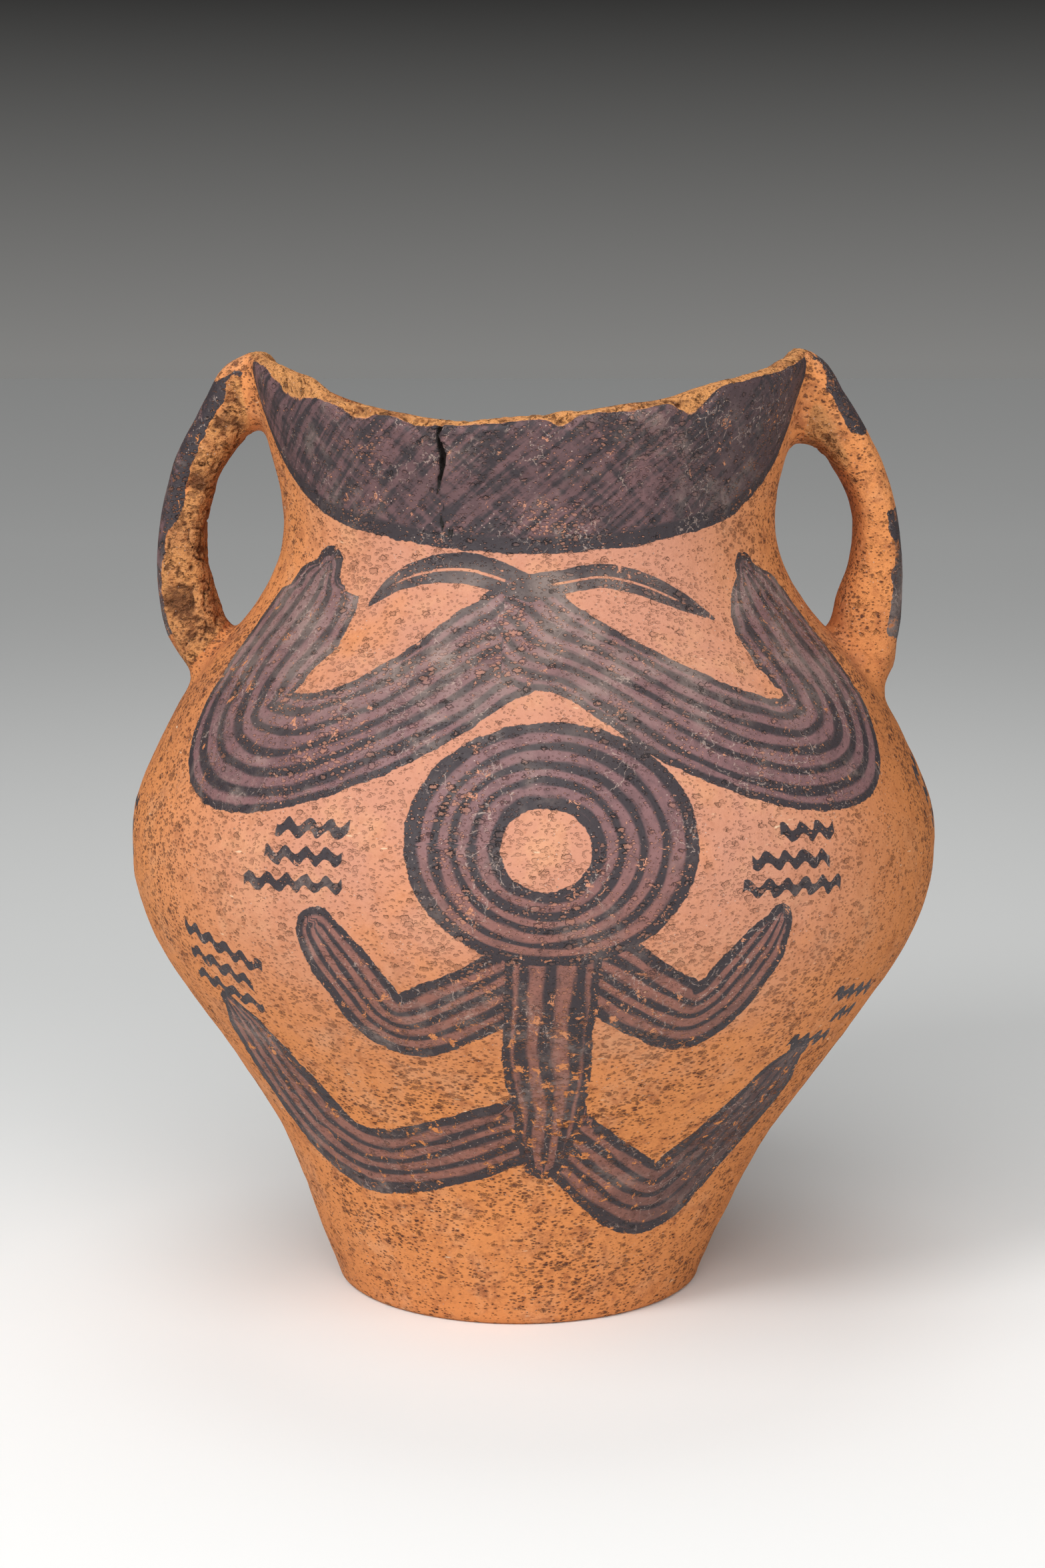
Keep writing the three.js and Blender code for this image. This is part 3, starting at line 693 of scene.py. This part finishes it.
# A short way to write shader nodes
class Nodes:
    def __init__(self, material):
        self.tree = material.node_tree
        self.tree.nodes.clear()

    def add(self, kind, **settings):
        node = self.tree.nodes.new(kind)
        for key, value in settings.items():
            setattr(node, key, value)
        return node

    def feed(self, socket, value):
        if isinstance(value, bpy.types.NodeSocket):
            self.tree.links.new(value, socket)
        elif value is not None:
            socket.default_value = value

    def math(self, operation, a, b=None, c=None, clamp=False):
        node = self.add("ShaderNodeMath", operation=operation, use_clamp=clamp)
        for socket, value in zip(node.inputs, (a, b, c)):
            self.feed(socket, value)
        return node.outputs[0]

    def plus(self, a, b):
        return self.math("ADD", a, b)

    def times(self, a, b):
        return self.math("MULTIPLY", a, b)

    def most(self, a, b):
        return self.math("MAXIMUM", a, b)

    def least(self, a, b):
        return self.math("MINIMUM", a, b)

    def ramp(self, value, low, high, out_low=0.0, out_high=1.0):
        node = self.add("ShaderNodeMapRange", interpolation_type="SMOOTHSTEP")
        for name, given in (("Value", value), ("From Min", low), ("From Max", high),
                            ("To Min", out_low), ("To Max", out_high)):
            self.feed(node.inputs[name], given)
        return node.outputs[0]

    def noise(self, vector, size, detail=3.0, rough=0.55, distortion=0.0):
        node = self.add("ShaderNodeTexNoise", noise_dimensions="3D")
        self.feed(node.inputs["Vector"], vector)
        node.inputs["Scale"].default_value = 1.0 / size
        node.inputs["Detail"].default_value = detail
        node.inputs["Roughness"].default_value = rough
        node.inputs["Distortion"].default_value = distortion
        return node.outputs["Fac"]

    def cells(self, vector, size, feature="F1"):
        node = self.add("ShaderNodeTexVoronoi", feature=feature)
        self.feed(node.inputs["Vector"], vector)
        node.inputs["Scale"].default_value = 1.0 / size
        return node.outputs["Distance"]

    def mix(self, a, b, factor):
        node = self.add("ShaderNodeMix", data_type="RGBA")
        self.feed(node.inputs["Factor"], factor)
        self.feed(node.inputs["A"], a if isinstance(a, bpy.types.NodeSocket) else (*a, 1.0))
        self.feed(node.inputs["B"], b if isinstance(b, bpy.types.NodeSocket) else (*b, 1.0))
        return node.outputs["Result"]

    def blend(self, a, b, factor):
        node = self.add("ShaderNodeMix", data_type="FLOAT")
        self.feed(node.inputs["Factor"], factor)
        self.feed(node.inputs["A"], a)
        self.feed(node.inputs["B"], b)
        return node.outputs["Result"]

    def parts(self, name):
        held = self.add("ShaderNodeAttribute", attribute_name=name)
        split = self.add("ShaderNodeSeparateXYZ")
        self.feed(split.inputs[0], held.outputs["Vector"])
        return split.outputs[0], split.outputs[1], split.outputs[2]

    def vector(self, x, y, z):
        node = self.add("ShaderNodeCombineXYZ")
        for socket, value in zip(node.inputs, (x, y, z)):
            self.feed(socket, value)
        return node.outputs[0]


# Colours, linear
CLAY_WARM, CLAY_PINK, CLAY_PALE = (0.66, 0.250, 0.084), (0.53, 0.243, 0.160), (0.70, 0.36, 0.19)
CLAY_DEEP, CLAY_CORE, CREVICE_SHADE = (0.31, 0.100, 0.040), (0.60, 0.265, 0.092), (0.105, 0.038, 0.018)
CORE_BROWN, CLAY_RUST = (0.42, 0.18, 0.075), (0.46, 0.150, 0.036)
SPECK_AND_PIT_SHADE, STRAW, CRACK_SHADE = (0.070, 0.027, 0.020), (0.72, 0.48, 0.31), (0.010, 0.007, 0.006)
PAINT_DARK, PAINT_LIGHT = (0.034, 0.025, 0.029), (0.200, 0.100, 0.102)
PAINT_RED, BLOOM = (0.280, 0.108, 0.072), (0.50, 0.37, 0.31)

# Wavy lines, and the soft step at a painted edge, in millimetres
WAVE_LENGTH, WAVE_SWING, MARK_HALF = 6.7, 1.3, 1.85
PAINT_EDGE = (-0.12, 0.16)


def clay_material():
    material = bpy.data.materials.new("painted_earthenware")
    material.use_nodes = True
    n = Nodes(material)
    coordinates = n.add("ShaderNodeTexCoord")
    scaled = n.add("ShaderNodeVectorMath", operation="SCALE")
    n.feed(scaled.inputs[0], coordinates.outputs["Object"])
    scaled.inputs["Scale"].default_value = 1000.0
    here = scaled.outputs[0]
    split = n.add("ShaderNodeSeparateXYZ")
    n.feed(split.inputs[0], here)
    across, deep, height = split.outputs
    fracture, hollow, groove = n.parts("breaks_and_hollows")
    angle, inside, _ = n.parts("place")

    broad = n.noise(here, 48, 3, 0.6)
    cloud = n.noise(here, 15, 4, 0.6)
    mottle = n.noise(here, 4.5, 4, 0.65)
    fine = n.noise(here, 1.1, 3, 0.6)
    grime = n.noise(here, 7.5, 5, 0.72, 0.6)

    # Bare clay: warm low and at the sides, pinker on the upper front, stained in soft clouds, and darkened
    # by painted shade on the shoulder away from the front
    front = n.ramp(n.math("ABSOLUTE", angle), 75, 25)
    upper = n.ramp(n.plus(height, n.times(cloud, 60)), 100, 185)
    pink = n.times(n.times(front, upper), n.ramp(broad, 0.15, 0.45))
    bold = n.math("SUBTRACT", 1.0, n.times(pink, 0.80))
    clay = n.mix(CLAY_WARM, CLAY_PINK, pink)
    clay = n.mix(clay, CLAY_PALE, n.times(n.ramp(cloud, 0.48, 0.75), 0.45))
    clay = n.mix(clay, CLAY_DEEP, n.times(n.ramp(grime, 0.49, 0.70), n.times(bold, 0.75)))
    clay = n.mix(clay, CLAY_DEEP, n.times(n.ramp(mottle, 0.50, 0.75), n.times(bold, 0.62)))
    clay = n.mix(clay, CLAY_DEEP, n.times(n.ramp(fine, 0.54, 0.80), 0.40))
    # Painted shade: the clay on the shoulder, away from the front, is darkened toward deep clay
    shoulder_shade = n.times(n.ramp(n.math("ABSOLUTE", angle), 42, 80), n.ramp(height, 140, 185))
    shoulder_shade = n.times(shoulder_shade, n.ramp(height, 228, 202))
    clay = n.mix(clay, CLAY_DEEP, n.times(shoulder_shade, n.ramp(cloud, 0.30, 0.65, 0.15, 0.55)))
    rust = n.times(n.least(n.ramp(angle, 35, 65), n.ramp(angle, 150, 110)), n.ramp(height, 205, 180))
    clay = n.mix(clay, CLAY_RUST, n.times(rust, 0.45))

    # Dark grit in three sizes, thick in some places and thin in others; the same dark spots are also
    # painted shade in the pits that the bump sinks there
    crowd = n.ramp(n.noise(here, 24, 3, 0.6), 0.34, 0.66)
    bend = n.times(n.noise(here, 0.8, 2), 0.42)
    flat = n.vector(across, deep, n.times(height, 1.7))
    grit_and_pit_shade, pits = None, None
    for size, low, high in ((1.5, 0.34, 0.49), (2.9, 0.32, 0.45), (6.5, 0.28, 0.37)):
        shape = n.plus(n.cells(flat, size), bend)
        limit = n.ramp(crowd, 0, 1, low, high)
        spot = n.ramp(shape, n.plus(limit, 0.03), n.plus(limit, -0.03))
        grit_and_pit_shade = spot if grit_and_pit_shade is None else n.most(grit_and_pit_shade, spot)
        pit = n.ramp(shape, n.plus(limit, 0.12), limit)
        pits = pit if pits is None else n.most(pits, n.times(pit, size * 0.45))
    # Grit and painted shade: the dark spots darken the clay where the pits sink
    clay = n.mix(clay, SPECK_AND_PIT_SHADE, n.times(grit_and_pit_shade, n.times(bold, n.ramp(mottle, 0.3, 0.7, 0.60, 1.0))))
    straw = n.noise(n.vector(n.times(across, 0.25), n.times(deep, 0.25), height), 1.6, 2)
    clay = n.mix(clay, STRAW, n.times(n.ramp(straw, 0.70, 0.76), n.ramp(cloud, 0.45, 0.6)))

    # Broken clay: yellower and brighter, with painted shade in its crevices, hollows and pits
    core = n.mix(CLAY_CORE, CLAY_PALE, n.times(n.ramp(fine, 0.5, 0.8), 0.6))
    at_strap = n.ramp(n.math("ABSOLUTE", across), 84, 92)
    core = n.mix(core, CORE_BROWN, n.times(at_strap, n.ramp(cloud, 0.35, 0.6, 0.10, 0.55)))
    # Painted shade: the broken clay's crevices, the mesh's hollows and its pits are darkened nearly to
    # black
    crevice = n.ramp(n.noise(here, 2.6, 5, 0.7, 0.5), 0.44, 0.33)
    core = n.mix(core, CREVICE_SHADE, n.times(n.most(crevice, n.ramp(hollow, 0.25, 0.8)), 0.85))
    core = n.mix(core, CLAY_DEEP, n.times(n.ramp(n.noise(here, 9, 3), 0.5, 0.7), 0.5))
    core = n.mix(core, CREVICE_SHADE, n.times(grit_and_pit_shade, 0.6))
    clay = n.mix(clay, core, n.ramp(fracture, 0.25, 0.6))

    # Paint: every layer gives a depth inside its edge and a place across its strokes
    wobble = n.times(n.plus(n.noise(here, 6, 3), -0.5), 2.2)
    nibble = n.times(n.plus(n.noise(here, 1.3, 2), -0.5), 0.9)
    ragged = n.plus(wobble, nibble)

    def strokes(name, streak_size=30.0):
        depth, number, run = n.parts(name)
        depth = n.plus(depth, ragged)
        cover = n.ramp(depth, *PAINT_EDGE)
        place = n.vector(number, n.times(run, 1 / streak_size), 3.0)
        drift = n.times(n.plus(n.noise(place, 0.9, 2), -0.5), 0.8)
        wave = n.math("COSINE", n.times(n.plus(number, drift), 2 * math.pi))
        hairs = n.noise(n.vector(n.times(number, 3.5), n.times(run, 0.06), 7.0), 1.0, 2)
        dark = n.ramp(n.plus(wave, n.times(n.plus(hairs, -0.5), 1.8)), -0.5, 0.7)
        dark = n.most(dark, n.ramp(depth, 3.0, 2.0))
        return cover, dark

    neck_depth, neck_side, neck_level = n.parts("paint_neck")
    neck_cover = n.ramp(n.plus(neck_depth, ragged), *PAINT_EDGE)
    slant = n.plus(neck_side, n.times(neck_level, 1.1))
    other = n.plus(neck_side, n.times(neck_level, -1.2))
    brush = n.noise(n.vector(n.times(slant, 0.30), n.times(other, 0.03), 1.0), 1.0, 2)
    cross = n.noise(n.vector(n.times(other, 0.30), n.times(slant, 0.03), 5.0), 1.0, 2)
    neck_dark = n.most(n.ramp(n.plus(n.times(brush, 0.5), cross), 0.60, 0.88, 0.25, 1.0),
                       n.ramp(neck_depth, 6.5, 4.0))

    cover, dark = strokes("paint_left")
    for name in ("paint_right", "paint_small", "paint_torso", "paint_head"):
        more, tone = strokes(name)
        dark = n.blend(dark, tone, more)
        cover = n.most(cover, more)
    dark = n.blend(dark, neck_dark, neck_cover)
    cover = n.most(cover, neck_cover)
    whisker_depth, whisker_number, _ = n.parts("paint_whisker")
    slit_zone = n.ramp(whisker_depth, 2.2, 2.8)
    slit = n.ramp(n.math("ABSOLUTE", n.plus(whisker_number, 0.10)), 0.06, 0.13)
    slit = n.most(slit, n.math("SUBTRACT", 1.0, slit_zone))
    slit = n.most(slit, n.ramp(n.math("ABSOLUTE", angle), 6, 3))
    whisker = n.times(n.ramp(n.plus(whisker_depth, n.times(ragged, 0.5)), *PAINT_EDGE), slit)
    dark = n.blend(dark, 1.0, whisker)
    cover = n.most(cover, whisker)
    run, rise, reach = n.parts("paint_marks")
    run = n.plus(run, n.times(n.plus(n.noise(here, 9, 1), -0.5), 4.0))
    swing = n.times(n.math("SINE", n.times(run, 2 * math.pi / WAVE_LENGTH)), WAVE_SWING)
    row = n.math("WRAP", n.plus(rise, n.times(swing, -1)), WAVE_GAP / 2, -WAVE_GAP / 2)
    thick = n.plus(n.math("ABSOLUTE", row), n.times(ragged, 0.6))
    line = n.ramp(thick, MARK_HALF + 0.15, MARK_HALF - 0.15)
    mark = n.times(line, n.ramp(n.plus(reach, n.times(ragged, 0.5)), -0.9, -0.4))
    dark = n.blend(dark, 1.0, mark)
    cover = n.most(cover, mark)

    # Losses: flakes, pits and worn patches show the clay again, most of all down the middle and low
    patch = n.noise(here, 26, 3, 0.6)
    flake = n.noise(here, 3.6, 5, 0.75, 0.5)
    low_loss = n.ramp(height, 160, 95, 0.0, 0.038)
    middle = n.times(n.ramp(n.math("ABSOLUTE", n.plus(angle, -4)), 20, 6), n.ramp(height, 130, 95))
    limit = n.plus(n.plus(0.272, n.times(patch, 0.15)), n.plus(low_loss, n.times(middle, 0.024)))
    kept = n.ramp(flake, limit, n.plus(limit, 0.014))
    kept = n.times(kept, n.math("SUBTRACT", 1.0, n.times(grit_and_pit_shade, n.ramp(patch, 0.4, 0.6, 0.1, 0.6))))
    kept = n.times(kept, n.ramp(n.plus(fracture, n.times(n.plus(grime, -0.5), 1.6)), 0.55, 0.35))
    kept = n.times(kept, n.ramp(hollow, 0.75, 0.5))
    cover = n.times(cover, kept)

    redder = n.times(n.ramp(height, 175, 110), 0.85)
    light = n.mix(PAINT_LIGHT, PAINT_RED, redder)
    light = n.mix(light, PAINT_DARK, n.times(n.ramp(mottle, 0.40, 0.7), 0.40))
    right_side = n.least(n.ramp(angle, 12, 45), n.ramp(angle, 150, 110))
    on_neck = n.ramp(height, 222, 240)
    calm = n.times(on_neck, n.ramp(broad, 0.30, 0.60, 0.60, 0.25))
    calm = n.most(calm, n.times(n.times(right_side, n.most(on_neck, n.ramp(height, 125, 95))), 0.75))
    paint = n.mix(light, PAINT_DARK, n.most(dark, calm))
    haze = n.times(n.ramp(n.noise(here, 30, 3, 0.65), 0.48, 0.70), n.ramp(grime, 0.42, 0.72))
    paint = n.mix(paint, BLOOM, n.times(haze, 0.30))
    chest = n.times(n.ramp(height, 175, 205), n.ramp(height, 236, 226))
    paint = n.mix(paint, BLOOM, n.times(chest, n.ramp(cloud, 0.35, 0.65, 0.03, 0.26)))
    warped = n.vector(n.plus(across, n.times(cloud, 14)), deep, n.plus(height, n.times(grime, 10)))
    crackle = n.ramp(n.cells(warped, 5.0, "DISTANCE_TO_EDGE"), 0.030, 0.010)
    crackle_zone = n.times(n.ramp(n.noise(here, 18, 3), 0.50, 0.60), n.ramp(fine, 0.42, 0.55))
    paint = n.mix(paint, BLOOM, n.times(n.times(crackle, crackle_zone), 0.55))

    colour = n.mix(clay, paint, cover)
    # White specks over clay and paint: dust, and painted glints standing in for the paint's speckled
    # highlights
    dust_and_glints = n.ramp(n.cells(here, 1.7), 0.14, 0.07)
    colour = n.mix(colour, BLOOM, n.times(dust_and_glints, n.ramp(n.noise(here, 13, 2), 0.42, 0.6, 0.15, 0.85)))
    # Painted shade: the crack's groove is filled with near black
    colour = n.mix(colour, CRACK_SHADE, n.ramp(groove, 0.12, 0.35))
    # Painted shade: the jar's inside faces are darkened toward deep clay
    colour = n.mix(colour, CLAY_DEEP, n.times(inside, 0.35))

    # Relief too fine for the mesh, in millimetres
    relief = n.plus(n.times(fine, 0.16), n.times(mottle, 0.28))
    relief = n.plus(relief, n.times(grime, 0.30))
    relief = n.plus(relief, n.times(pits, -0.34))
    broken = n.plus(n.times(n.noise(here, 2.2, 4, 0.7), 1.6), n.times(crevice, -0.7))
    relief = n.plus(relief, n.times(fracture, broken))
    relief = n.plus(relief, n.times(cover, 0.06))
    bump = n.add("ShaderNodeBump")
    bump.inputs["Strength"].default_value = 1.0
    bump.inputs["Distance"].default_value = 1.0 * MM
    n.feed(bump.inputs["Height"], relief)

    rough = n.blend(n.ramp(mottle, 0.2, 0.8, 0.80, 0.95), n.ramp(mottle, 0.2, 0.8, 0.55, 0.74), cover)
    shader = n.add("ShaderNodeBsdfPrincipled")
    n.feed(shader.inputs["Base Color"], colour)
    n.feed(shader.inputs["Roughness"], rough)
    n.feed(shader.inputs["Normal"], bump.outputs[0])
    n.feed(shader.inputs["Specular IOR Level"], n.blend(0.15, 0.40, cover))
    output = n.add("ShaderNodeOutputMaterial")
    n.tree.links.new(shader.outputs[0], output.inputs["Surface"])
    return material


# The studio: a pale floor painted with a pool of light that falls off into grey, a grey air behind it, and
# soft light
FLOOR_SIZE, FLOOR_NEAR, FLOOR_MIDDLE, FLOOR_FAR = 120.0, 0.86, 0.65, 0.50
AIR_LOW, AIR_HIGH, AIR_TOP = 0.224, 0.031, 0.128


def floor_material():
    material = bpy.data.materials.new("pale_floor")
    material.use_nodes = True
    n = Nodes(material)
    coordinates = n.add("ShaderNodeTexCoord")
    split = n.add("ShaderNodeSeparateXYZ")
    n.feed(split.inputs[0], coordinates.outputs["Object"])
    # Painted light: the floor is brightest in front of the jar and darkens into grey farther away
    away = n.most(n.plus(split.outputs[1], 0.86), 0.5)
    shade = n.least(n.plus(FLOOR_FAR, n.math("DIVIDE", 0.68, away)), FLOOR_MIDDLE)
    shade = n.plus(shade, n.ramp(split.outputs[1], 0.45, -0.15, 0.0, FLOOR_NEAR - FLOOR_MIDDLE))
    shader = n.add("ShaderNodeBsdfPrincipled")
    n.feed(shader.inputs["Base Color"], n.vector(shade, n.times(shade, 1.01), n.times(shade, 1.0)))
    shader.inputs["Roughness"].default_value = 0.9
    output = n.add("ShaderNodeOutputMaterial")
    n.tree.links.new(shader.outputs[0], output.inputs["Surface"])
    return material


def studio_floor():
    bpy.ops.mesh.primitive_plane_add(size=FLOOR_SIZE)
    floor = bpy.context.object
    floor.name = "studio_floor"
    floor.data.materials.append(floor_material())


def studio_air():
    """A sky that is mid grey at the horizon and darkens upward, as the photograph's backdrop does."""
    world = bpy.data.worlds.new("studio_air")
    world.use_nodes = True
    n = Nodes(world)
    coordinates = n.add("ShaderNodeTexCoord")
    split = n.add("ShaderNodeSeparateXYZ")
    n.feed(split.inputs[0], coordinates.outputs["Generated"])
    back = n.add("ShaderNodeBackground")
    grey = n.blend(AIR_LOW, AIR_HIGH, n.math("DIVIDE", split.outputs[2], AIR_TOP, clamp=True))
    n.feed(back.inputs["Color"], n.vector(grey, n.times(grey, 0.99), n.times(grey, 0.96)))
    output = n.add("ShaderNodeOutputWorld")
    n.tree.links.new(back.outputs[0], output.inputs["Surface"])
    bpy.context.scene.world = world


# Round soft lights aimed at the jar's middle: place in metres, width in metres, watts
JAR_MIDDLE = (0, 0, 0.15)
SOFT_LIGHTS = {
    "key": ((-0.80, -1.05, 1.15), 0.50, 11),
    "fill": ((1.3, -0.8, 0.7), 0.9, 5),
    "front": ((0.05, -1.5, 1.0), 1.5, 10),
    "top": ((0.0, 0.6, 1.6), 1.0, 6),
}
DAY_STRENGTH, DAY_SPREAD, DAY_TILT = 1.74, 70, (38, -18, 0)


def soft_light(name, place, size, watts):
    light = bpy.data.lights.new(name, "AREA")
    light.shape, light.size, light.energy = "DISK", size, watts
    lamp = bpy.data.objects.new(name, light)
    lamp.location = place
    lamp.rotation_euler = (Vector(JAR_MIDDLE) - Vector(place)).to_track_quat("-Z", "Y").to_euler()
    bpy.context.scene.collection.objects.link(lamp)


def studio():
    studio_floor()
    studio_air()
    for name, (place, size, watts) in SOFT_LIGHTS.items():
        soft_light(name, place, size, watts)
    day = bpy.data.lights.new("even_light", "SUN")
    day.energy, day.angle = DAY_STRENGTH, math.radians(DAY_SPREAD)
    lamp = bpy.data.objects.new("even_light", day)
    lamp.rotation_euler = [math.radians(tilt) for tilt in DAY_TILT]
    bpy.context.scene.collection.objects.link(lamp)
    bpy.context.scene.view_settings.view_transform = "Standard"


# The photograph's view, fitted to the jar's outline
CAMERA_DISTANCE, CAMERA_HEIGHT, CAMERA_SIDE = 0.862, 0.2891, 0.0011
CAMERA_PITCH, CAMERA_LENS, SENSOR = 8.68, 63.4, 36.0


def photo_camera():
    data = bpy.data.cameras.new("photo_view")
    data.lens, data.sensor_width, data.sensor_height = CAMERA_LENS, SENSOR, SENSOR
    data.clip_start, data.clip_end = 0.01, 50
    camera = bpy.data.objects.new("photo_view", data)
    camera.location = (CAMERA_SIDE, -CAMERA_DISTANCE, CAMERA_HEIGHT)
    camera.rotation_euler = (math.radians(90 - CAMERA_PITCH), 0, 0)
    bpy.context.scene.collection.objects.link(camera)
    bpy.context.scene.camera = camera


def smooth_shading(mesh):
    mesh.polygons.foreach_set("use_smooth", np.ones(len(mesh.polygons), bool))


def make_jar():
    jar = finish_surface(joined_jar())
    mesh = jar.data
    write_points(mesh, read(mesh.vertices) * MM)
    smooth_shading(mesh)
    mesh.materials.clear()
    mesh.materials.append(clay_material())
    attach(jar, "root")
    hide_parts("jar")


photo_camera()
studio()
make_jar()
